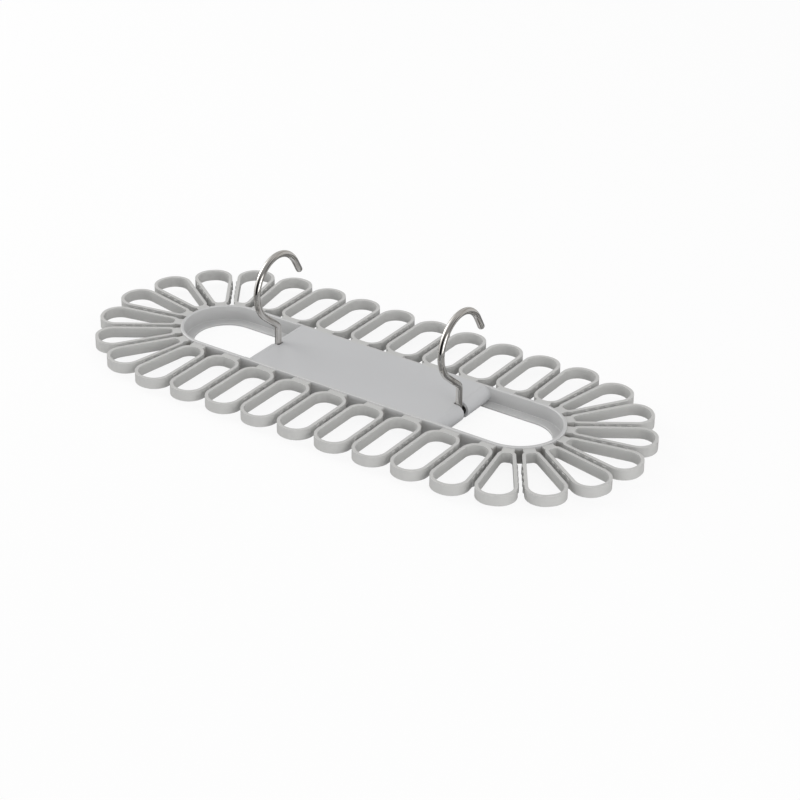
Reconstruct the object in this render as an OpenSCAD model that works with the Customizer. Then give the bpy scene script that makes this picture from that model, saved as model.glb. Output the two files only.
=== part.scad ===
// Sock drying hanger: a long ring of open loops round a flat middle, with two folding wire hooks.
// X runs along the length, Y across it, Z up; the part stands on the underside of the middle hoop.

/* [Frame] */
// Step between neighbouring straight loops
loop_pitch = 28.75; // [27:0.05:34]
// Reach of every loop tip from the middle line or from an end centre
tip_reach = 88.5; // [80:0.5:100]
// Outer half width of the middle hoop
hoop_r = 30.75; // [30.5:0.05:33]
// Distance by which the hoop's round ends are centred beyond the end fans
hoop_more = 0.6; // [0:0.1:1.2]
// Wall thickness of the middle hoop
hoop_wall = 2.2; // [1.6:0.1:3]
// Full height of the middle hoop
hoop_h = 11.6; // [11:0.1:14]
// Width of the bottom flange inside the two end openings
flange_w = 6.5; // [3:0.1:7]
// Thickness of the bottom flange
flange_t = 1.3; // [1:0.1:3]
// Radius of the soft corner between hoop wall and flange
corner_fill = 0.5; // [0.4:0.1:1.6]
// Bevel along the top edges of the hoop
edge_bevel = 0.4; // [0.2:0.05:0.6]

/* [Loops] */
// Height of the loop walls
loop_h = 7.25; // [5:0.05:8]
// Step from the top of the hoop down to the top of the loops
loop_step = 0.9; // [0.3:0.1:2]
// Thickness of the loop walls
loop_wall = 2.15; // [1.6:0.05:2.6]
// Gap left between two neighbouring straight loops
loop_gap = 3.85; // [3:0.05:6]
// Distance from the hoop to the inner end of a straight loop
loop_root = 2.9; // [2.5:0.1:5]
// Corner radius at the inner end of a straight loop
root_round = 10; // [6:0.25:11]
// Corner radius at the tip of every loop
tip_round = 12; // [8:0.25:12.2]
// Width of the neck that carries a straight loop
neck_w = 13; // [8:0.1:14]
// Distance from the hoop to the inner end of a fan loop
fan_root = 3.8; // [3:0.1:5]
// Half width of a fan loop at its inner end
fan_root_half = 5.9; // [5.5:0.1:6]
// Half width of a fan loop near its tip
fan_tip_half = 13; // [12.5:0.1:14]
// Corner radius at the inner end of a fan loop
fan_root_round = 5; // [4:0.1:5.4]
// Width of the neck that carries a fan loop
fan_neck_w = 7.8; // [5:0.1:9]

/* [Grip teeth] */
// How far a grip tooth stands out of the loop wall
tooth_out = 0.8; // [0.3:0.05:1.2]
// Step from the top of a loop wall down to the top of its teeth
tooth_drop = 1.1; // [0.4:0.1:3]
// Radius of the rounded face of a grip tooth
tooth_round = 2.4; // [1.4:0.1:2.6]
// Distance between grip teeth along a wall
tooth_step = 7; // [5:0.25:8]
// Grip teeth on each side wall
tooth_count = 4; // [2:1:4]
// Distance from the middle line to the first grip tooth
tooth_start = 50; // [48:0.5:52]

/* [Middle plate] */
// Distance from the middle to each hinge axis
hinge_x = 71.6; // [60:0.1:80]
// Thickness of the plate and of its rolled ends
plate_t = 2.2; // [1.6:0.1:2.5]
// Thickness of the ribs under the plate
rib_t = 1.6; // [1:0.1:3]
// Depth of the ribs under the plate
rib_d = 4.6; // [2:0.1:6]
// Distance of the long ribs from the middle line
rib_y = 14.4; // [12:0.1:20]

/* [Hooks] */
// Diameter of the hook wire
wire_d = 4.5; // [3.6:0.1:4.6]
// Radius of the crook to the middle of the wire
crook_r = 22.2; // [18:0.1:22.4]
// Height above the hinge axis at which the stem starts to lean
stem_top = 16; // [14:0.1:16.4]
// Lean of the wire between the stem and the crook
lean = 50; // [45:1:55]
// Radius of the bend between stem and leaning part
knee_r = 5.5; // [3:0.1:7]
// Length of the straight leaning part
lean_len = 15.8; // [14:0.1:16.2]
// Angle through which the crook turns
crook_turn = 200; // [180:1:215]
// Length of the straight end of the wire, without its rounded tip
end_len = 9; // [1:0.5:11]
// Radius of the bend from the stem into the axle
foot_r = 3; // [2.8:0.05:3.2]
// Length of the axle measured from the stem
axle_len = 23; // [22.5:0.5:28]
// Radial running clearance of the axle in its saddles
axle_fit = 0.05; // [0.02:0.01:0.1]
// Clearance on each side of the wire in its slot
slot_fit = 0.3; // [0.3:0.05:0.5]

/* [Hinge saddles] */
// Distance from the stem to the first saddle
saddle_near = 6.5; // [6:0.1:8]
// Distance from the stem to the second saddle
saddle_far = 16.5; // [14:0.1:17]
// Length of each saddle along the axle
saddle_len = 4; // [3:0.1:5]
// Opening of the saddle mouth, less than the wire so that it snaps in
saddle_mouth = 3.7; // [3.4:0.1:3.8]
// Depth of the saddle lips in front of the axle
saddle_lip = 2.8; // [2:0.1:3.4]

/* [Hidden] */
$fn = 96;
tiny = 0.01;
end_x = 4 * loop_pitch;
fan_step = 180 / 8;
hoop_x = end_x + hoop_more;
hoop_in = hoop_r - hoop_wall;
flange_in = hoop_in - flange_w;
loop_top = hoop_h - loop_step;
loop_z = loop_top - loop_h;
loop_half = (loop_pitch - loop_gap) / 2;
tooth_h = loop_h - tooth_drop;
nose_r = hoop_h / 2;
nose_in = nose_r - plate_t;
nose_end = hinge_x + nose_r;
wire_r = wire_d / 2;
slot_half = wire_r + slot_fit;
bore_r = wire_r + axle_fit;
root_y = hoop_r + loop_root;
fan_y = hoop_r + fan_root;
join_over = 0.04;
join_in = 1;
frame_colour = [0.8, 0.8, 0.79];
plate_colour = [0.76, 0.77, 0.78];
wire_colour = [0.7, 0.69, 0.67];

// Flat outlines

// Angle of the outward side of the line that touches two circles, each given as [x, y, radius].
function side_angle(a, b) =
  atan2(b[1] - a[1], b[0] - a[0])
  - acos((a[2] - b[2]) / norm([b[0] - a[0], b[1] - a[1]]));

function touch(c, angle) = [c[0] + c[2] * cos(angle), c[1] + c[2] * sin(angle)];

// Closed outline round circles given in turning order, with their radii made smaller by inset.
module round_outline(c, inset) {
  n = len(c);
  k = [for (i = [0:n - 1]) [c[i][0], c[i][1], c[i][2] - inset]];
  s = [for (i = [0:n - 1]) side_angle(k[i], k[(i + 1) % n])];
  polygon([for (i = [0:n - 1], end = [0, 1]) touch(k[(i + end) % n], s[i])]);
  for (i = [0:n - 1])
    translate([k[i][0], k[i][1]])
      circle(k[i][2]);
}

// Corner circles of the two kinds of side wall, on the +X side of a loop that points to +Y.
straight_root = [loop_half - root_round, root_y + root_round, root_round];
straight_tip = [loop_half - tip_round, tip_reach - tip_round, tip_round];
fan_inner = [fan_root_half - fan_root_round, fan_y + fan_root_round, fan_root_round];
fan_outer = [fan_tip_half - tip_round, tip_reach - tip_round, tip_round];

function mirrored(c) = [-c[0], c[1], c[2]];

function straight_circles() =
  [straight_root, straight_tip, mirrored(straight_tip), mirrored(straight_root)];

function fan_circles() = [fan_inner, fan_outer, mirrored(fan_outer), mirrored(fan_inner)];

// A corner loop has one large round at its inner end, under both side walls.
corner_root = mirrored(straight_root);

function corner_circles() = [corner_root, fan_outer, mirrored(straight_tip)];

// One tooth on a wall whose outer face is the line x = 0, rooted in the middle of the wall.
module tooth() {
  intersection() {
    translate([tooth_out - tooth_round, 0])
      circle(tooth_round);
    translate([-loop_wall / 2, -tooth_round])
      square([loop_wall / 2 + tooth_out, 2 * tooth_round]);
  }
}

// Row of teeth on the straight side wall towards +X.
module straight_teeth() {
  for (i = [0:tooth_count - 1])
    translate([loop_half, tooth_start + i * tooth_step])
      tooth();
}

// Row of teeth on a side wall that leans outwards from a root circle to the fan tip circle.
module fan_teeth(root) {
  side = side_angle(root, fan_outer);
  for (i = [0:tooth_count - 1])
    translate(touch(root, side))
      rotate(side)
        translate([0, tooth_start - root[1] + i * tooth_step])
          tooth();
}

// Middle hoop seen from above and filled in.
module hoop_outline() {
  square([2 * hoop_x, 2 * hoop_r], center = true);
  for (side = [-1, 1])
    translate([side * hoop_x, 0])
      circle(hoop_r);
}

// Wall round the given circles, with the neck handed in as a child.
module loop_outline(circles) {
  difference() {
    union() {
      round_outline(circles, 0);
      children();
    }
    round_outline(circles, loop_wall);
  }
}

module neck(left, right, root) {
  translate([-left, 0])
    square([left + right, root + loop_wall / 2]);
}

module clear_of_hoop() {
  difference() {
    children();
    hoop_outline();
  }
}

// Outline of a loop or its teeth raised from the underside of the loops.
module moulded(height) {
  color(frame_colour)
    translate([0, 0, loop_z])
      linear_extrude(height)
        children();
}

// Loops, each drawn to point to +Y from the line or the centre it stands on

module back_loop(n) {
  x = (n - 4) * loop_pitch;
  moulded(loop_h)
    clear_of_hoop()
      translate([x, 0])
        loop_outline(straight_circles())
          neck(neck_w / 2, neck_w / 2, root_y);
  moulded(tooth_h)
    translate([x, 0])
      for (side = [0, 1])
        mirror([side, 0]) straight_teeth();
}

module front_loop(n) {
  mirror([0, 1, 0]) back_loop(n);
}

module right_loop(n) {
  turn = (n - 4) * fan_step - 90;
  moulded(loop_h)
    clear_of_hoop()
      translate([end_x, 0])
        rotate(turn)
          loop_outline(fan_circles())
            neck(fan_neck_w / 2, fan_neck_w / 2, fan_y);
  moulded(tooth_h)
    translate([end_x, 0])
      rotate(turn)
        for (side = [0, 1])
          mirror([side, 0]) fan_teeth(fan_inner);
}

module left_loop(n) {
  mirror([1, 0, 0]) right_loop(n);
}

// Straight side wall towards -X, fan side wall towards +X.
module corner_loop_back_right() {
  moulded(loop_h)
    clear_of_hoop()
      translate([end_x, 0])
        loop_outline(corner_circles())
          neck(neck_w / 2, fan_neck_w / 2, root_y);
  moulded(tooth_h)
    translate([end_x, 0]) {
      fan_teeth(corner_root);
      mirror([1, 0]) straight_teeth();
    }
}

module corner_loop_back_left() {
  mirror([1, 0, 0]) corner_loop_back_right();
}

module corner_loop_front_right() {
  mirror([0, 1, 0]) corner_loop_back_right();
}

module corner_loop_front_left() {
  mirror([0, 1, 0]) corner_loop_back_left();
}

// Hoop, cut across: distance outwards along x, height along y

module wall_section() {
  polygon([
    [hoop_in, 0], [hoop_r, 0],
    [hoop_r, hoop_h - edge_bevel], [hoop_r - edge_bevel, hoop_h],
    [hoop_in + edge_bevel, hoop_h], [hoop_in, hoop_h - edge_bevel]
  ]);
}

module plain_wall_section() {
  polygon([
    [hoop_in, 0], [hoop_r, 0],
    [hoop_r, hoop_h - edge_bevel], [hoop_r - edge_bevel, hoop_h],
    [hoop_in, hoop_h]
  ]);
}

module flange_section() {
  polygon([
    [flange_in, 0], [hoop_in + tiny, 0], [hoop_in + tiny, flange_t],
    [flange_in + edge_bevel, flange_t], [flange_in, flange_t - edge_bevel]
  ]);
}

module open_section() {
  wall_section();
  flange_section();
  difference() {
    translate([hoop_in - corner_fill, flange_t - tiny])
      square([corner_fill + tiny, corner_fill + tiny]);
    translate([hoop_in - corner_fill, flange_t + corner_fill])
      circle(corner_fill);
  }
}

// Straight length of a section on the back side, from one x to another.
module run(from, to) {
  translate([from, 0, 0])
    rotate([90, 0, 90])
      linear_extrude(to - from)
        children();
}

// Side wall along the plate, on the back side.
module hoop_side() {
  color(frame_colour)
    run(-hinge_x, hinge_x) plain_wall_section();
}

// Round end with its flange, on the +X side.
module hoop_end() {
  color(frame_colour) {
    translate([hoop_x, 0, 0])
      rotate([0, 0, -90])
        rotate_extrude(angle = 180)
          open_section();
    for (side = [0, 1])
      mirror([0, side, 0]) {
        run(hinge_x, nose_end) {
          plain_wall_section();
          flange_section();
        }
        run(nose_end, hoop_x) open_section();
      }
  }
}

module rim_back() {
  hoop_side();
}

module rim_front() {
  mirror([0, 1, 0]) hoop_side();
}

module rim_right_end() {
  hoop_end();
}

module rim_left_end() {
  mirror([1, 0, 0]) hoop_end();
}

// Middle plate with its rolled ends

module slot_cut() {
  translate([hinge_x - slot_half, -slot_half, -tiny])
    cube([nose_r + 2 * slot_half, 2 * slot_half, hoop_h + 2 * tiny]);
}

module centre_plate() {
  color(plate_colour)
    difference() {
      translate([-hinge_x, -hoop_in, hoop_h - plate_t])
        cube([2 * hinge_x, 2 * hoop_in, plate_t]);
      slot_cut();
      mirror([1, 0, 0]) slot_cut();
    }
}

module nose_section() {
  intersection() {
    difference() {
      circle(nose_r);
      circle(nose_in);
    }
    translate([0, -nose_r])
      square([nose_r, 2 * nose_r]);
  }
}

module saddle_section() {
  difference() {
    union() {
      intersection() {
        circle((nose_in + nose_r) / 2);
        translate([0, -nose_r])
          square([nose_r, 2 * nose_r]);
      }
      translate([-saddle_lip, -nose_in])
        square([saddle_lip, 2 * nose_in]);
    }
    circle(bore_r);
    translate([-saddle_lip - tiny, -saddle_mouth / 2])
      square([saddle_lip + tiny, saddle_mouth]);
  }
}

// Length of a section along Y, drawn with x outwards and y up, on the hinge axis.
module along_hinge(from, to) {
  translate([hinge_x, to, nose_r])
    rotate([90, 0, 0])
      linear_extrude(to - from)
        children();
}

module nose_shell(from, to) {
  difference() {
    along_hinge(from, to) nose_section();
    slot_cut();
    for (side = [0, 1])
      mirror([0, side, 0])
        translate([0, flange_in, -tiny])
          cube([nose_end + tiny, flange_w + tiny, flange_t + tiny]);
  }
}

module nose_front() {
  nose_shell(-hoop_in, 0);
}

module nose_back() {
  nose_shell(0, hoop_in);
  for (from = [saddle_near, saddle_far])
    along_hinge(from, from + saddle_len) saddle_section();
}

module right_nose_front() {
  color(plate_colour) nose_front();
}

module right_nose_back() {
  color(plate_colour) nose_back();
}

module left_nose_front() {
  mirror([1, 0, 0]) right_nose_front();
}

module left_nose_back() {
  mirror([1, 0, 0]) right_nose_back();
}

module plate_ribs() {
  rib_z = hoop_h - plate_t - rib_d;
  rib_end = 2 * loop_pitch;
  color(plate_colour) {
    for (i = [-2:2])
      translate([i * loop_pitch - rib_t / 2, -hoop_in, rib_z])
        cube([rib_t, 2 * hoop_in, rib_d]);
    for (side = [-1, 1])
      translate([-rib_end, side * rib_y - rib_t / 2, rib_z])
        cube([2 * rib_end, rib_t, rib_d]);
  }
}

// Wire hooks, drawn in the plane of y and z with the hinge axis at the origin

module bend(radius, from, turn) {
  rotate([90, 0, 90])
    rotate([0, 0, from])
      rotate_extrude(angle = turn)
        translate([radius, 0])
          circle(wire_r);
}

// Leaning part, crook and straight end with its rounded tip, drawn upright on the knee bend's end.
module upper_wire() {
  translate([0, knee_r, 0])
    cylinder(r = wire_r, h = lean_len);
  translate([0, knee_r + crook_r, lean_len]) {
    bend(crook_r, 180, -crook_turn);
    rotate([-crook_turn, 0, 0])
      translate([0, -crook_r, -join_in]) {
        cylinder(r = wire_r - join_over, h = join_in + end_len);
        translate([0, 0, join_in + end_len])
          sphere(wire_r - 2 * join_over);
      }
  }
}

module hook() {
  $fn = 36;
  // axle and foot bend
  translate([0, foot_r, 0])
    rotate([-90, 0, 0])
      cylinder(r = wire_r, h = axle_len - foot_r);
  translate([0, foot_r, foot_r])
    bend(foot_r, 180, 90);
  // stem
  translate([0, 0, foot_r])
    cylinder(r = wire_r, h = stem_top - foot_r);
  // knee bend and everything above it
  translate([0, -knee_r, stem_top]) {
    bend(knee_r, 0, lean);
    rotate([lean, 0, 0]) upper_wire();
  }
}

module right_hook() {
  color(wire_colour)
    translate([hinge_x, 0, nose_r])
      hook();
}

module left_hook() {
  color(wire_colour)
    translate([-hinge_x, 0, nose_r])
      hook();
}

rim_front();
rim_back();
rim_left_end();
rim_right_end();
centre_plate();
left_nose_front();
left_nose_back();
right_nose_front();
right_nose_back();
plate_ribs();
front_loop(1);  // front_loop_1
front_loop(2);  // front_loop_2
front_loop(3);  // front_loop_3
front_loop(4);  // front_loop_4
front_loop(5);  // front_loop_5
front_loop(6);  // front_loop_6
front_loop(7);  // front_loop_7
back_loop(1);  // back_loop_1
back_loop(2);  // back_loop_2
back_loop(3);  // back_loop_3
back_loop(4);  // back_loop_4
back_loop(5);  // back_loop_5
back_loop(6);  // back_loop_6
back_loop(7);  // back_loop_7
corner_loop_front_left();
corner_loop_front_right();
corner_loop_back_left();
corner_loop_back_right();
left_loop(1);  // left_loop_1
left_loop(2);  // left_loop_2
left_loop(3);  // left_loop_3
left_loop(4);  // left_loop_4
left_loop(5);  // left_loop_5
left_loop(6);  // left_loop_6
left_loop(7);  // left_loop_7
right_loop(1);  // right_loop_1
right_loop(2);  // right_loop_2
right_loop(3);  // right_loop_3
right_loop(4);  // right_loop_4
right_loop(5);  // right_loop_5
right_loop(6);  // right_loop_6
right_loop(7);  // right_loop_7
left_hook();
right_hook();
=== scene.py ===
"""Sock drying hanger: finishes, rounded mouldings, bright wire hooks, light and camera."""

import math

import bmesh
import bpy
from mathutils import Matrix, Vector


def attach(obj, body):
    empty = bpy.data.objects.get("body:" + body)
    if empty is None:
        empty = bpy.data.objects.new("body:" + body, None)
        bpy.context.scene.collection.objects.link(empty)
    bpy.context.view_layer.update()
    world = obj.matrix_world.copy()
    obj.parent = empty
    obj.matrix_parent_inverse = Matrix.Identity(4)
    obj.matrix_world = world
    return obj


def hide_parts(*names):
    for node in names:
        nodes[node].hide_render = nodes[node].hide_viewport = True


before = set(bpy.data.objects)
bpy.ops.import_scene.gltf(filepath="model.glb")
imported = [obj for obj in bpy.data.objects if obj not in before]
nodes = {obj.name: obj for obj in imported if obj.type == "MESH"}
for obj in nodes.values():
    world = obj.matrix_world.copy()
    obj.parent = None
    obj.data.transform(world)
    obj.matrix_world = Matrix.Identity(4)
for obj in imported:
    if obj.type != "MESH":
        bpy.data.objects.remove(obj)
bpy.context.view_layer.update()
scene = bpy.context.scene

MM = 0.001

# Places on the part, in millimetres, the same as in the part's source
HINGE_X = 71.6
HINGE_Z = 5.8
HOOP_R = 30.75
HOOP_IN = 28.55
HOOP_X = 115.6
HOOP_TOP = 11.6
LOOP_TOP = 10.7
WIRE_R = 2.25
FOOT_R = 3.0
AXLE_LEN = 23.0
STEM_TOP = 16.0
KNEE_R = 5.5
LEAN = math.radians(50)
LEAN_LEN = 15.8
CROOK_R = 22.2
CROOK_TURN = math.radians(200)
END_LEN = 9.0
TIP_ROUND = 2.1

# Widths of the rounded edges of the mouldings, in millimetres
OUTER_SOFT = 0.8
INNER_SOFT = 0.35
LOW_SOFT = 0.4
RIM_SOFT = 0.2
SLOT_SOFT = 0.3
SLOT_HALF = 2.55

# How close counts as at a place, in millimetres, and the angle from which an edge is a sharp one
NEAR = 0.05
SHARP = math.radians(35)


# Selecting and copying

def deselect_all():
    for obj in bpy.context.selected_objects:
        obj.select_set(False)


def make_active(obj):
    deselect_all()
    obj.select_set(True)
    bpy.context.view_layer.objects.active = obj


def hoop_distance(x, y):
    """Distance in millimetres from the line between the centres of the hoop's two round ends."""
    beyond = max(abs(x) - HOOP_X, 0.0)
    return math.hypot(beyond, y)


def copy_of_node(name, new_name):
    """A merged copy of a CAD node's mesh as a new piece."""
    source = nodes[name]
    mesh = source.data.copy()
    mesh.materials.clear()
    piece = bpy.data.objects.new(new_name, mesh)
    scene.collection.objects.link(piece)
    make_active(piece)
    bpy.ops.object.mode_set(mode="EDIT")
    bpy.ops.mesh.select_all(action="SELECT")
    bpy.ops.mesh.remove_doubles(threshold=0.002 * MM)
    bpy.ops.mesh.select_all(action="DESELECT")
    bpy.ops.object.mode_set(mode="OBJECT")
    return piece


def round_edges(piece, width_of, largest, segments):
    """Bevels the sharp edges by width_of(start, end, way out) in millimetres; 0 leaves an edge sharp.

    The bevel's overlap clamp stays on, so a piece with short edges gets narrower bevels than are asked for.
    """
    make_active(piece)
    bpy.ops.object.mode_set(mode="EDIT")
    bpy.ops.mesh.select_mode(type="EDGE")
    bpy.ops.mesh.select_all(action="DESELECT")
    mesh = bmesh.from_edit_mesh(piece.data)
    widths = {}
    for edge in mesh.edges:
        if not edge.is_manifold:
            continue
        if edge.calc_face_angle() < SHARP:
            continue
        start, end = (v.co / MM for v in edge.verts)
        out = sum((f.normal for f in edge.link_faces if abs(f.normal.z) < 0.5), Vector())
        width = width_of(start, end, out)
        if width > 0:
            widths.setdefault(width, []).append(edge.index)
    for width, chosen in widths.items():
        mesh = bmesh.from_edit_mesh(piece.data)
        mesh.edges.ensure_lookup_table()
        for index in chosen:
            mesh.edges[index].select_set(True)
        bmesh.update_edit_mesh(piece.data)
        bpy.ops.transform.edge_bevelweight(value=width / largest)
        bpy.ops.mesh.select_all(action="DESELECT")
    bpy.ops.object.mode_set(mode="OBJECT")
    rounding = piece.modifiers.new("rounding", "BEVEL")
    rounding.limit_method = "WEIGHT"
    rounding.width = largest * MM
    rounding.segments = segments
    rounding.profile = 0.5
    bpy.ops.object.modifier_apply(modifier=rounding.name)
    bpy.ops.object.shade_smooth_by_angle(angle=SHARP)
    flat_faces = piece.modifiers.new("flat_faces", "WEIGHTED_NORMAL")
    flat_faces.mode = "FACE_AREA_WITH_ANGLE"
    flat_faces.keep_sharp = True
    bpy.ops.object.modifier_apply(modifier=flat_faces.name)


# Materials

def new_material(name):
    material = bpy.data.materials.new(name)
    material.use_nodes = True
    tree = material.node_tree
    tree.nodes.clear()
    output = tree.nodes.new("ShaderNodeOutputMaterial")
    shader = tree.nodes.new("ShaderNodeBsdfPrincipled")
    tree.links.new(shader.outputs["BSDF"], output.inputs["Surface"])
    return material, tree, shader


def make_moulded_surface_group():
    """Colour, roughness and normal of a moulded plastic surface, on Object coordinates."""
    group = bpy.data.node_groups.new("moulded_surface", "ShaderNodeTree")
    face = group.interface
    face.new_socket("Colour", in_out="INPUT", socket_type="NodeSocketColor")
    face.new_socket("Shade Spread", in_out="INPUT", socket_type="NodeSocketFloat")
    face.new_socket("Roughness", in_out="INPUT", socket_type="NodeSocketFloat")
    face.new_socket("Roughness Spread", in_out="INPUT", socket_type="NodeSocketFloat")
    face.new_socket("Grain Size", in_out="INPUT", socket_type="NodeSocketFloat")
    face.new_socket("Grain Depth", in_out="INPUT", socket_type="NodeSocketFloat")
    face.new_socket("Surface Colour", in_out="OUTPUT", socket_type="NodeSocketColor")
    face.new_socket("Surface Roughness", in_out="OUTPUT", socket_type="NodeSocketFloat")
    face.new_socket("Surface Normal", in_out="OUTPUT", socket_type="NodeSocketVector")
    add = group.nodes.new
    link = group.links.new
    inside = add("NodeGroupInput")
    outside = add("NodeGroupOutput")
    place = add("ShaderNodeTexCoord")

    flow = add("ShaderNodeTexNoise")
    flow.inputs["Scale"].default_value = 42.0
    flow.inputs["Detail"].default_value = 3.0
    link(place.outputs["Object"], flow.inputs["Vector"])
    centred = add("ShaderNodeMath")
    centred.operation = "SUBTRACT"
    centred.inputs[1].default_value = 0.5
    link(flow.outputs["Fac"], centred.inputs[0])
    shade = add("ShaderNodeMath")
    shade.operation = "MULTIPLY_ADD"
    shade.inputs[2].default_value = 1.0
    link(centred.outputs[0], shade.inputs[0])
    link(inside.outputs["Shade Spread"], shade.inputs[1])
    tinted = add("ShaderNodeVectorMath")
    tinted.operation = "SCALE"
    link(inside.outputs["Colour"], tinted.inputs[0])
    link(shade.outputs[0], tinted.inputs["Scale"])
    link(tinted.outputs[0], outside.inputs["Surface Colour"])

    scuffs = add("ShaderNodeTexNoise")
    scuffs.inputs["Scale"].default_value = 260.0
    scuffs.inputs["Detail"].default_value = 5.0
    scuffs.inputs["Distortion"].default_value = 0.6
    link(place.outputs["Object"], scuffs.inputs["Vector"])
    scuff_centred = add("ShaderNodeMath")
    scuff_centred.operation = "SUBTRACT"
    scuff_centred.inputs[1].default_value = 0.5
    link(scuffs.outputs["Fac"], scuff_centred.inputs[0])
    rough = add("ShaderNodeMath")
    rough.operation = "MULTIPLY_ADD"
    link(scuff_centred.outputs[0], rough.inputs[0])
    link(inside.outputs["Roughness Spread"], rough.inputs[1])
    link(inside.outputs["Roughness"], rough.inputs[2])
    link(rough.outputs[0], outside.inputs["Surface Roughness"])

    grain = add("ShaderNodeTexNoise")
    grain.inputs["Detail"].default_value = 2.0
    link(inside.outputs["Grain Size"], grain.inputs["Scale"])
    link(place.outputs["Object"], grain.inputs["Vector"])
    height = add("ShaderNodeMath")
    height.operation = "MULTIPLY"
    link(grain.outputs["Fac"], height.inputs[0])
    link(inside.outputs["Grain Depth"], height.inputs[1])
    bump = add("ShaderNodeBump")
    bump.inputs["Strength"].default_value = 1.0
    bump.inputs["Distance"].default_value = 1.0
    link(height.outputs[0], bump.inputs["Height"])
    link(bump.outputs["Normal"], outside.inputs["Surface Normal"])
    return group


def make_pocket_shade_group():
    """Painted shade: darkens the colour of the narrow pockets between the necks, just outside the hoop and
    below the loops' top, where shade falls; less along the straight sides than at the round ends.
    """
    group = bpy.data.node_groups.new("pocket_shade", "ShaderNodeTree")
    face = group.interface
    face.new_socket("Colour", in_out="INPUT", socket_type="NodeSocketColor")
    face.new_socket("Painted Shade Colour", in_out="INPUT", socket_type="NodeSocketColor")
    face.new_socket("Depth", in_out="INPUT", socket_type="NodeSocketFloat")
    face.new_socket("Shaded Colour", in_out="OUTPUT", socket_type="NodeSocketColor")
    add = group.nodes.new
    link = group.links.new
    inside = add("NodeGroupInput")
    outside = add("NodeGroupOutput")
    place = add("ShaderNodeTexCoord")
    split = add("ShaderNodeSeparateXYZ")
    link(place.outputs["Object"], split.inputs[0])
    side = add("ShaderNodeMath")
    side.operation = "ABSOLUTE"
    link(split.outputs["X"], side.inputs[0])
    beyond = add("ShaderNodeMath")
    beyond.operation = "SUBTRACT"
    beyond.inputs[1].default_value = HOOP_X * MM
    link(side.outputs[0], beyond.inputs[0])
    past_end = add("ShaderNodeMath")
    past_end.operation = "MAXIMUM"
    past_end.inputs[1].default_value = 0.0
    link(beyond.outputs[0], past_end.inputs[0])
    flat = add("ShaderNodeCombineXYZ")
    link(past_end.outputs[0], flat.inputs["X"])
    link(split.outputs["Y"], flat.inputs["Y"])
    reach = add("ShaderNodeVectorMath")
    reach.operation = "LENGTH"
    link(flat.outputs[0], reach.inputs[0])

    def fade(source, start, end):
        mask = add("ShaderNodeMapRange")
        mask.interpolation_type = "SMOOTHSTEP"
        mask.inputs["From Min"].default_value = start * MM
        mask.inputs["From Max"].default_value = end * MM
        mask.inputs["To Min"].default_value = 0.0
        mask.inputs["To Max"].default_value = 1.0
        link(source, mask.inputs["Value"])
        return mask.outputs[0]

    def product(first, second):
        both = add("ShaderNodeMath")
        both.operation = "MULTIPLY"
        link(first, both.inputs[0])
        link(second, both.inputs[1])
        return both.outputs[0]

    out_of_hoop = fade(reach.outputs["Value"], HOOP_R - 0.6, HOOP_R - 0.1)
    near_hoop = fade(reach.outputs["Value"], HOOP_R + 4.6, HOOP_R + 1.6)
    low = fade(split.outputs["Z"], LOOP_TOP - 0.3, LOOP_TOP - 2.4)
    round_end = add("ShaderNodeMapRange")
    round_end.inputs["From Min"].default_value = (HOOP_X - 20.0) * MM
    round_end.inputs["From Max"].default_value = (HOOP_X + 10.0) * MM
    round_end.inputs["To Min"].default_value = 0.35
    link(side.outputs[0], round_end.inputs["Value"])
    ring = product(product(out_of_hoop, near_hoop), product(low, round_end.outputs[0]))
    share = product(ring, inside.outputs["Depth"])
    blend = add("ShaderNodeMix")
    blend.data_type = "RGBA"
    link(share, blend.inputs["Factor"])
    link(inside.outputs["Colour"], blend.inputs["A"])
    link(inside.outputs["Painted Shade Colour"], blend.inputs["B"])
    link(blend.outputs["Result"], outside.inputs["Shaded Colour"])
    return group


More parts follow.
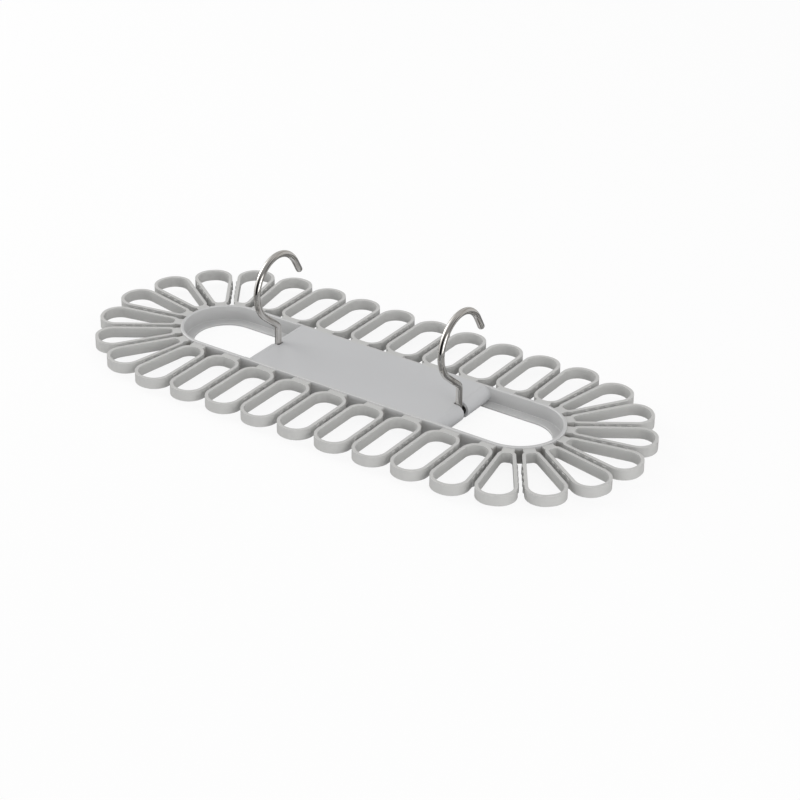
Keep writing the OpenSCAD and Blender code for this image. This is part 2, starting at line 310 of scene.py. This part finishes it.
def make_edge_highlight_and_polish_group():
    """Lightens the rounded top edges as a painted highlight and polishes them with a lower roughness, as
    rubbed edges are; found by their leaning normal and broken up by a noise.
    """
    group = bpy.data.node_groups.new("edge_highlight_and_polish", "ShaderNodeTree")
    face = group.interface
    face.new_socket("Colour", in_out="INPUT", socket_type="NodeSocketColor")
    face.new_socket("Roughness", in_out="INPUT", socket_type="NodeSocketFloat")
    face.new_socket("Lift", in_out="INPUT", socket_type="NodeSocketFloat")
    face.new_socket("Polish", in_out="INPUT", socket_type="NodeSocketFloat")
    face.new_socket("Highlighted Colour", in_out="OUTPUT", socket_type="NodeSocketColor")
    face.new_socket("Polished Roughness", in_out="OUTPUT", socket_type="NodeSocketFloat")
    add = group.nodes.new
    link = group.links.new
    inside = add("NodeGroupInput")
    outside = add("NodeGroupOutput")
    place = add("ShaderNodeTexCoord")
    split = add("ShaderNodeSeparateXYZ")
    link(place.outputs["Normal"], split.inputs[0])

    def fade(start, end):
        mask = add("ShaderNodeMapRange")
        mask.interpolation_type = "SMOOTHSTEP"
        mask.inputs["From Min"].default_value = start
        mask.inputs["From Max"].default_value = end
        link(split.outputs["Z"], mask.inputs["Value"])
        return mask.outputs[0]

    # Normals leaning up, between a wall and a top face: where the painted highlight and the polish go
    leaning = add("ShaderNodeMath")
    leaning.operation = "MULTIPLY"
    link(fade(0.15, 0.5), leaning.inputs[0])
    link(fade(0.995, 0.93), leaning.inputs[1])
    rub = add("ShaderNodeTexNoise")
    rub.inputs["Scale"].default_value = 120.0
    rub.inputs["Detail"].default_value = 3.0
    link(place.outputs["Object"], rub.inputs["Vector"])
    uneven = add("ShaderNodeMapRange")
    uneven.inputs["From Min"].default_value = 0.3
    uneven.inputs["From Max"].default_value = 0.7
    uneven.inputs["To Min"].default_value = 0.6
    uneven.inputs["To Max"].default_value = 1.2
    link(rub.outputs["Fac"], uneven.inputs["Value"])
    highlight_and_polish_mask = add("ShaderNodeMath")
    highlight_and_polish_mask.operation = "MULTIPLY"
    link(leaning.outputs[0], highlight_and_polish_mask.inputs[0])
    link(uneven.outputs[0], highlight_and_polish_mask.inputs[1])
    gain = add("ShaderNodeMath")
    gain.operation = "MULTIPLY_ADD"
    gain.inputs[2].default_value = 1.0
    link(highlight_and_polish_mask.outputs[0], gain.inputs[0])
    link(inside.outputs["Lift"], gain.inputs[1])
    lighter = add("ShaderNodeVectorMath")
    lighter.operation = "SCALE"
    link(inside.outputs["Colour"], lighter.inputs[0])
    link(gain.outputs[0], lighter.inputs["Scale"])
    link(lighter.outputs[0], outside.inputs["Highlighted Colour"])
    rubbed = add("ShaderNodeMath")
    rubbed.operation = "MULTIPLY"
    link(highlight_and_polish_mask.outputs[0], rubbed.inputs[0])
    link(inside.outputs["Polish"], rubbed.inputs[1])
    smoother = add("ShaderNodeMath")
    smoother.operation = "SUBTRACT"
    link(inside.outputs["Roughness"], smoother.inputs[0])
    link(rubbed.outputs[0], smoother.inputs[1])
    link(smoother.outputs[0], outside.inputs["Polished Roughness"])
    return group


moulded_surface = make_moulded_surface_group()
edge_highlight_and_polish = make_edge_highlight_and_polish_group()
pocket_shade = make_pocket_shade_group()


def moulded_plastic(name, colour, spread, roughness, rough_spread, grain_size, grain_depth, specular):
    material, tree, shader = new_material(name)
    surface = tree.nodes.new("ShaderNodeGroup")
    surface.node_tree = moulded_surface
    surface.inputs["Colour"].default_value = (*colour, 1.0)
    surface.inputs["Shade Spread"].default_value = spread
    surface.inputs["Roughness"].default_value = roughness
    surface.inputs["Roughness Spread"].default_value = rough_spread
    surface.inputs["Grain Size"].default_value = grain_size
    surface.inputs["Grain Depth"].default_value = grain_depth
    tree.links.new(surface.outputs["Surface Colour"], shader.inputs["Base Color"])
    tree.links.new(surface.outputs["Surface Roughness"], shader.inputs["Roughness"])
    tree.links.new(surface.outputs["Surface Normal"], shader.inputs["Normal"])
    shader.inputs["Specular IOR Level"].default_value = specular
    shader.inputs["IOR"].default_value = 1.49
    return material


# Paints a highlight into the colour of the rounded top edges and lowers their roughness there.
def highlight_and_polish_edges(material, lift, polish):
    tree = material.node_tree
    shader = next(n for n in tree.nodes if n.type == "BSDF_PRINCIPLED")
    highlight_and_polish_node = tree.nodes.new("ShaderNodeGroup")
    highlight_and_polish_node.node_tree = edge_highlight_and_polish
    highlight_and_polish_node.inputs["Lift"].default_value = lift
    highlight_and_polish_node.inputs["Polish"].default_value = polish
    tree.links.new(shader.inputs["Base Color"].links[0].from_socket, highlight_and_polish_node.inputs["Colour"])
    tree.links.new(shader.inputs["Roughness"].links[0].from_socket, highlight_and_polish_node.inputs["Roughness"])
    tree.links.new(highlight_and_polish_node.outputs["Highlighted Colour"], shader.inputs["Base Color"])
    tree.links.new(highlight_and_polish_node.outputs["Polished Roughness"], shader.inputs["Roughness"])


# Paints shade into the base colour of the pockets between the necks.
def paint_pocket_shade(material, colour, depth):
    tree = material.node_tree
    shader = next(n for n in tree.nodes if n.type == "BSDF_PRINCIPLED")
    plain = shader.inputs["Base Color"].links[0].from_socket
    shade = tree.nodes.new("ShaderNodeGroup")
    shade.node_tree = pocket_shade
    shade.inputs["Painted Shade Colour"].default_value = (*colour, 1.0)
    shade.inputs["Depth"].default_value = depth
    tree.links.new(plain, shade.inputs["Colour"])
    tree.links.new(shade.outputs["Shaded Colour"], shader.inputs["Base Color"])


# Colour of the shade painted into the pockets between the necks
POCKET_SHADE_COLOUR = (0.16, 0.14, 0.12)

frame_plastic = moulded_plastic(
    "frame_plastic", (0.541, 0.541, 0.531), spread=0.06, roughness=0.42, rough_spread=0.10,
    grain_size=1500.0, grain_depth=0.00003, specular=0.5)
plate_plastic = moulded_plastic(
    "plate_plastic", (0.54, 0.545, 0.555), spread=0.03, roughness=0.38, rough_spread=0.08,
    grain_size=1100.0, grain_depth=0.00002, specular=0.5)
# The rounded top edges get a painted highlight and a lower roughness
highlight_and_polish_edges(frame_plastic, 0.26, 0.14)
# Painted shade in the pockets between the necks
paint_pocket_shade(frame_plastic, POCKET_SHADE_COLOUR, 0.45)
rim_plastic = moulded_plastic(
    "rim_plastic", (0.541, 0.543, 0.543), spread=0.04, roughness=0.40, rough_spread=0.10,
    grain_size=1500.0, grain_depth=0.00003, specular=0.5)
# The rounded top edges get a painted highlight and a lower roughness
highlight_and_polish_edges(rim_plastic, 0.12, 0.10)
# Painted shade in the pockets between the necks
paint_pocket_shade(rim_plastic, POCKET_SHADE_COLOUR, 0.45)


def make_bright_wire():
    material, tree, shader = new_material("bright_wire")
    add = tree.nodes.new
    link = tree.links.new
    place = add("ShaderNodeAttribute")
    place.attribute_name = "wire_place"
    stretch = add("ShaderNodeMapping")
    stretch.inputs["Scale"].default_value = (1.0, 1.0, 0.06)
    link(place.outputs["Vector"], stretch.inputs["Vector"])
    drawn = add("ShaderNodeTexNoise")
    drawn.inputs["Scale"].default_value = 1.4
    drawn.inputs["Detail"].default_value = 4.0
    link(stretch.outputs[0], drawn.inputs["Vector"])
    tone = add("ShaderNodeValToRGB")
    tone.color_ramp.elements[0].position = 0.36
    tone.color_ramp.elements[0].color = (0.54, 0.51, 0.475, 1.0)
    tone.color_ramp.elements[1].position = 0.58
    tone.color_ramp.elements[1].color = (0.84, 0.83, 0.815, 1.0)
    link(drawn.outputs["Fac"], tone.inputs["Fac"])
    link(tone.outputs["Color"], shader.inputs["Base Color"])
    rough = add("ShaderNodeMapRange")
    rough.inputs["To Min"].default_value = 0.03
    rough.inputs["To Max"].default_value = 0.08
    link(drawn.outputs["Fac"], rough.inputs["Value"])
    link(rough.outputs[0], shader.inputs["Roughness"])
    bump = add("ShaderNodeBump")
    bump.inputs["Strength"].default_value = 0.25
    bump.inputs["Distance"].default_value = 0.0001
    link(drawn.outputs["Fac"], bump.inputs["Height"])
    link(bump.outputs["Normal"], shader.inputs["Normal"])
    shader.inputs["Metallic"].default_value = 1.0
    return material


bright_wire = make_bright_wire()


# Frame mouldings

def loop_edge_width(middle):
    """Width rule of one loop: softer along the outside of its top than along the inside."""
    def width(start, end, out):
        reach = [hoop_distance(p.x, p.y) for p in (start, end)]
        if max(reach) < HOOP_R + NEAR:
            return 0.0
        if min(start.z, end.z) > LOOP_TOP - NEAR:
            half_way = (start + end) / 2 - middle
            half_way.z = 0
            on_neck = min(reach) < HOOP_R + NEAR
            return OUTER_SOFT if on_neck or half_way.dot(out) > 0 else INNER_SOFT
        return LOW_SOFT
    return width


def finish_piece(piece, node, body, material):
    piece.data.materials.append(material)
    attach(piece, body)
    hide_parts(node)


loop_nodes = [name for name in nodes if "_loop_" in name]
for name in loop_nodes:
    moulding = copy_of_node(name, name + "_moulding")
    corners = [Vector(corner) / MM for corner in moulding.bound_box]
    middle = sum(corners, Vector()) / len(corners)
    round_edges(moulding, loop_edge_width(middle), OUTER_SOFT, 4)
    finish_piece(moulding, name, "frame", frame_plastic)


def rim_edge_width(start, end, out):
    """Width rule of the rims: along the top and the lip of the flange, not where the plate joins."""
    lengthwise = abs(start.z - end.z) < 0.02
    at_plate = max(abs(start.x), abs(end.x)) < HINGE_X + 0.1 and abs(start.y) < HOOP_IN + 0.1
    if not lengthwise or start.z < 0.1 or at_plate:
        return 0.0
    return RIM_SOFT


for name in ("rim_front", "rim_back", "rim_left_end", "rim_right_end"):
    rim = copy_of_node(name, name + "_moulding")
    round_edges(rim, rim_edge_width, RIM_SOFT, 3)
    finish_piece(rim, name, "frame", rim_plastic)


def slot_edge_width(start, end, out):
    """Width rule of the plate and its rolled ends: only the edges of the slots that the stems stand in."""
    near_slot = max(abs(abs(p.y) - SLOT_HALF) for p in (start, end)) < NEAR
    at_slot_end = max(abs(abs(p.x) - (HINGE_X - SLOT_HALF)) for p in (start, end)) < NEAR
    across = max(abs(p.y) for p in (start, end)) < SLOT_HALF + NEAR
    on_top = min(start.z, end.z) > HOOP_TOP - NEAR
    if near_slot and (on_top or abs(start.z - end.z) > NEAR):
        return SLOT_SOFT
    if at_slot_end and across and on_top:
        return SLOT_SOFT
    return 0.0


for name in ("centre_plate", "left_nose_front", "left_nose_back", "right_nose_front", "right_nose_back"):
    part = copy_of_node(name, name + "_moulding")
    round_edges(part, slot_edge_width, SLOT_SOFT, 2)
    finish_piece(part, name, "frame", plate_plastic)

nodes["plate_ribs"].data.materials.clear()
nodes["plate_ribs"].data.materials.append(plate_plastic)


# Wire hooks

def wire_hook(name, x):
    """Drawn as the wire is bent: a ring at the end of the axle, carried along by extrude and spin."""
    deselect_all()
    bpy.ops.mesh.primitive_circle_add(
        vertices=40, radius=WIRE_R * MM, fill_type="NGON",
        location=(x * MM, AXLE_LEN * MM, HINGE_Z * MM), rotation=(math.radians(90), 0, 0))
    hook = bpy.context.active_object
    hook.name = name
    hook.data.name = name
    bpy.ops.object.transform_apply(location=True, rotation=True, scale=True)
    hook.data.attributes.new("wire_place", "FLOAT_VECTOR", "POINT")
    bpy.ops.object.mode_set(mode="EDIT")
    bpy.ops.mesh.select_mode(type="FACE")
    bpy.ops.mesh.select_all(action="SELECT")
    state = {"along": 0.0, "way": Vector((0, -1, 0))}

    def note_ring():
        """Stores the ring's place on the wire in millimetres: sideways, in the bending plane, along."""
        mesh = bmesh.from_edit_mesh(hook.data)
        layer = mesh.verts.layers.float_vector["wire_place"]
        ring = [v for v in mesh.verts if v.select]
        middle = sum((v.co for v in ring), Vector()) / len(ring)
        inward = state["way"].cross(Vector((1, 0, 0)))
        for v in ring:
            off = (v.co - middle) / MM
            v[layer] = (off.x, off.dot(inward), state["along"])

    def straight(length, steps):
        for _ in range(steps):
            move = state["way"] * (length * MM / steps)
            bpy.ops.mesh.extrude_region_move(TRANSFORM_OT_translate={"value": move})
            state["along"] += length / steps
            note_ring()

    def turn(centre, radius, angle, steps):
        """Turns about the X axis through centre, given in y and z; a positive angle turns from +Y to +Z."""
        for _ in range(steps):
            bpy.ops.mesh.spin(
                steps=1, angle=-angle / steps, axis=(1, 0, 0),
                center=(x * MM, centre.y * MM, (HINGE_Z + centre.z) * MM))
            state["way"] = Matrix.Rotation(angle / steps, 3, "X") @ state["way"]
            state["along"] += radius * abs(angle) / steps
            note_ring()

    lean_way = Vector((0, -math.sin(LEAN), math.cos(LEAN)))
    across = Vector((0, math.cos(LEAN), math.sin(LEAN)))
    knee_centre = Vector((0, -KNEE_R, STEM_TOP))
    crook_centre = knee_centre + across * (KNEE_R + CROOK_R) + lean_way * LEAN_LEN
    note_ring()
    straight(AXLE_LEN - FOOT_R, 8)
    turn(Vector((0, FOOT_R, FOOT_R)), FOOT_R, -math.pi / 2, 12)
    straight(STEM_TOP - FOOT_R, 5)
    turn(knee_centre, KNEE_R, LEAN, 10)
    straight(LEAN_LEN, 6)
    turn(crook_centre, CROOK_R, -CROOK_TURN, 72)
    straight(END_LEN, 2)
    straight(TIP_ROUND, 1)
    bpy.ops.mesh.region_to_loop()
    bpy.ops.mesh.bevel(offset=TIP_ROUND * MM, offset_type="OFFSET", segments=8, affect="EDGES")
    bpy.ops.mesh.select_all(action="DESELECT")
    bpy.ops.object.mode_set(mode="OBJECT")
    bpy.ops.object.shade_smooth_by_angle(angle=math.radians(40))
    return hook


for name, x in (("left_hook", -HINGE_X), ("right_hook", HINGE_X)):
    hook = wire_hook(name + "_wire", x)
    finish_piece(hook, name, name, bright_wire)


# Floor, light and camera

def make_floor():
    """Pale floor: nearly white to the camera, with the object's shadow, and a quiet grey to the object."""
    deselect_all()
    bpy.ops.mesh.primitive_plane_add(size=12.0, location=(0, 0, 0))
    floor = bpy.context.active_object
    floor.name = "floor"
    material, tree, shader = new_material("pale_floor")
    link = tree.links.new
    rays = tree.nodes.new("ShaderNodeLightPath")
    paleness = tree.nodes.new("ShaderNodeMapRange")
    paleness.inputs["To Min"].default_value = 0.75
    paleness.inputs["To Max"].default_value = 0.9
    link(rays.outputs["Is Camera Ray"], paleness.inputs["Value"])
    quieter = tree.nodes.new("ShaderNodeMath")
    quieter.operation = "MULTIPLY_ADD"
    quieter.inputs[1].default_value = -0.57
    link(rays.outputs["Is Glossy Ray"], quieter.inputs[0])
    link(paleness.outputs[0], quieter.inputs[2])
    link(quieter.outputs[0], shader.inputs["Base Color"])
    shader.inputs["Roughness"].default_value = 0.9
    white = tree.nodes.new("ShaderNodeEmission")
    white.inputs["Strength"].default_value = 1.0
    seen = tree.nodes.new("ShaderNodeMath")
    seen.operation = "MULTIPLY"
    seen.inputs[1].default_value = 0.88
    link(rays.outputs["Is Camera Ray"], seen.inputs[0])
    mirrored = tree.nodes.new("ShaderNodeMath")
    mirrored.operation = "MULTIPLY_ADD"
    mirrored.inputs[1].default_value = 0.05
    link(rays.outputs["Is Glossy Ray"], mirrored.inputs[0])
    link(seen.outputs[0], mirrored.inputs[2])
    mix = tree.nodes.new("ShaderNodeMixShader")
    link(mirrored.outputs[0], mix.inputs["Fac"])
    link(shader.outputs["BSDF"], mix.inputs[1])
    link(white.outputs["Emission"], mix.inputs[2])

    # a bright surface mirrors the table only near the object, and the studio beyond it
    place = tree.nodes.new("ShaderNodeTexCoord")
    reach = tree.nodes.new("ShaderNodeVectorMath")
    reach.operation = "LENGTH"
    link(place.outputs["Object"], reach.inputs[0])
    beyond = tree.nodes.new("ShaderNodeMapRange")
    beyond.inputs["From Min"].default_value = 0.24
    beyond.inputs["From Max"].default_value = 0.30
    link(reach.outputs["Value"], beyond.inputs["Value"])
    open_to_mirror = tree.nodes.new("ShaderNodeMath")
    open_to_mirror.operation = "MULTIPLY"
    link(rays.outputs["Is Glossy Ray"], open_to_mirror.inputs[0])
    link(beyond.outputs[0], open_to_mirror.inputs[1])
    through = tree.nodes.new("ShaderNodeBsdfTransparent")
    edge = tree.nodes.new("ShaderNodeMixShader")
    link(open_to_mirror.outputs[0], edge.inputs["Fac"])
    link(mix.outputs[0], edge.inputs[1])
    link(through.outputs[0], edge.inputs[2])
    output = next(n for n in tree.nodes if n.type == "OUTPUT_MATERIAL")
    link(edge.outputs[0], output.inputs["Surface"])
    floor.data.materials.append(material)


make_floor()

# Studio zones the wire mirrors: azimuth from +X, elevation, inner and outer half angle, brightness
STUDIO_ZONES = (
    (-170.0, 28.0, 18.0, 46.0, 1.2),
    (-35.0, 34.0, 28.0, 60.0, 0.26),
    (-78.0, 30.0, 6.0, 28.0, 0.10),
    (-88.0, 2.0, 26.0, 42.0, 0.01),
    (-14.0, 0.0, 9.0, 22.0, 2.6),
    (24.0, 8.0, 9.0, 20.0, 0.10),
)


def make_studio():
    """Even light for matt surfaces, dark and bright zones for mirrored rays, white for the camera."""
    world = bpy.data.worlds.new("studio")
    scene.world = world
    world.use_nodes = True
    tree = world.node_tree
    tree.nodes.clear()
    add = tree.nodes.new
    link = tree.links.new
    place = add("ShaderNodeTexCoord")
    split = add("ShaderNodeSeparateXYZ")
    link(place.outputs["Generated"], split.inputs[0])
    brightness = add("ShaderNodeMapRange")
    brightness.inputs["From Min"].default_value = 0.0
    brightness.inputs["From Max"].default_value = 0.9
    brightness.inputs["To Min"].default_value = 0.58
    brightness.inputs["To Max"].default_value = 0.50
    link(split.outputs["Z"], brightness.inputs["Value"])
    for azimuth, elevation, inner, outer, level in STUDIO_ZONES:
        turned = Matrix.Rotation(math.radians(azimuth), 3, "Z")
        raised = Matrix.Rotation(-math.radians(elevation), 3, "Y")
        turn = turned @ raised
        nearness = add("ShaderNodeVectorMath")
        nearness.operation = "DOT_PRODUCT"
        nearness.inputs[1].default_value = turn @ Vector((1, 0, 0))
        link(place.outputs["Generated"], nearness.inputs[0])
        mask = add("ShaderNodeMapRange")
        mask.interpolation_type = "SMOOTHSTEP"
        mask.inputs["From Min"].default_value = math.cos(math.radians(outer))
        mask.inputs["From Max"].default_value = math.cos(math.radians(inner))
        link(nearness.outputs["Value"], mask.inputs["Value"])
        blend = add("ShaderNodeMapRange")
        blend.inputs["To Max"].default_value = level
        link(mask.outputs[0], blend.inputs["Value"])
        link(brightness.outputs[0], blend.inputs["To Min"])
        brightness = blend
    mirrored = add("ShaderNodeBackground")
    mirrored.inputs["Color"].default_value = (1.0, 0.985, 0.965, 1.0)
    link(brightness.outputs[0], mirrored.inputs["Strength"])
    even = add("ShaderNodeBackground")
    even.inputs["Color"].default_value = (0.985, 0.985, 0.99, 1.0)
    even.inputs["Strength"].default_value = 0.71
    white = add("ShaderNodeBackground")
    white.inputs["Color"].default_value = (1, 1, 1, 1)
    white.inputs["Strength"].default_value = 1.0
    rays = add("ShaderNodeLightPath")
    glossy = add("ShaderNodeMixShader")
    link(rays.outputs["Is Glossy Ray"], glossy.inputs["Fac"])
    link(even.outputs[0], glossy.inputs[1])
    link(mirrored.outputs[0], glossy.inputs[2])
    camera = add("ShaderNodeMixShader")
    link(rays.outputs["Is Camera Ray"], camera.inputs["Fac"])
    link(glossy.outputs[0], camera.inputs[1])
    link(white.outputs[0], camera.inputs[2])
    output = add("ShaderNodeOutputWorld")
    link(camera.outputs[0], output.inputs["Surface"])


make_studio()


def area_light(name, place, target, size, watts, colour, mirrored=False):
    deselect_all()
    bpy.ops.object.light_add(type="AREA", location=place)
    lamp = bpy.context.active_object
    lamp.name = name
    lamp.data.shape = "RECTANGLE"
    lamp.data.size = size[0]
    lamp.data.size_y = size[1]
    lamp.data.energy = watts
    lamp.data.color = colour
    lamp.visible_glossy = mirrored
    way = Vector(target) - Vector(place)
    lamp.rotation_euler = way.to_track_quat("-Z", "Y").to_euler()


area_light("top_softbox", (-0.4, 0.5, 1.6), (0, 0, 0), (1.6, 1.2), 2.0, (1.0, 0.99, 0.97))
area_light(
    "left_softbox", (-1.57, -0.28, 0.85), (0, 0, 0), (1.1, 1.0), 10.0, (1.0, 0.99, 0.97), mirrored=True)
area_light("right_softbox", (1.6, -0.5, 0.8), (0, 0, 0), (1.0, 0.9), 6.5, (1.0, 0.99, 0.97))
area_light("low_right", (1.8, -0.3, 0.14), (0, 0, 0), (1.0, 0.16), 2.8, (1.0, 1.0, 1.0))
area_light("low_front", (0.3, -1.8, 0.14), (0, 0, 0), (1.6, 0.16), 4.0, (1.0, 1.0, 1.0))


# The photograph's camera: its size and focal length in pixels, the pixel where the target falls,
# its angles in degrees and its distance in millimetres
PICTURE = 800.0
SENSOR = 36.0
FOCAL = 2358.66
TARGET_PIXEL = (366.52, 373.19)
CAMERA_ANGLES = (34.974, 28.375, 0.150)
DISTANCE = 1532.78


def photo_camera():
    azimuth, elevation, roll = (math.radians(angle) for angle in CAMERA_ANGLES)
    level = Vector((math.sin(azimuth), -math.cos(azimuth), 0))
    back = level * math.cos(elevation) + Vector((0, 0, math.sin(elevation)))
    right = Vector((math.cos(azimuth), math.sin(azimuth), 0))
    up = back.cross(right)
    turned_right = right * math.cos(roll) + up * math.sin(roll)
    turned_up = up * math.cos(roll) - right * math.sin(roll)
    target = Vector((0.0, 0.0, LOOP_TOP))
    data = bpy.data.cameras.new("photo_camera")
    camera = bpy.data.objects.new("photo_camera", data)
    scene.collection.objects.link(camera)
    place = (target + back * DISTANCE) * MM
    axes = Matrix((turned_right, turned_up, back)).transposed()
    camera.matrix_world = Matrix.Translation(place) @ axes.to_4x4()
    data.sensor_width = SENSOR
    data.lens = FOCAL * SENSOR / PICTURE
    data.shift_x = (PICTURE / 2 - TARGET_PIXEL[0]) / PICTURE
    data.shift_y = (TARGET_PIXEL[1] - PICTURE / 2) / PICTURE
    data.clip_end = 50.0
    scene.camera = camera


photo_camera()
scene.view_settings.view_transform = "Standard"
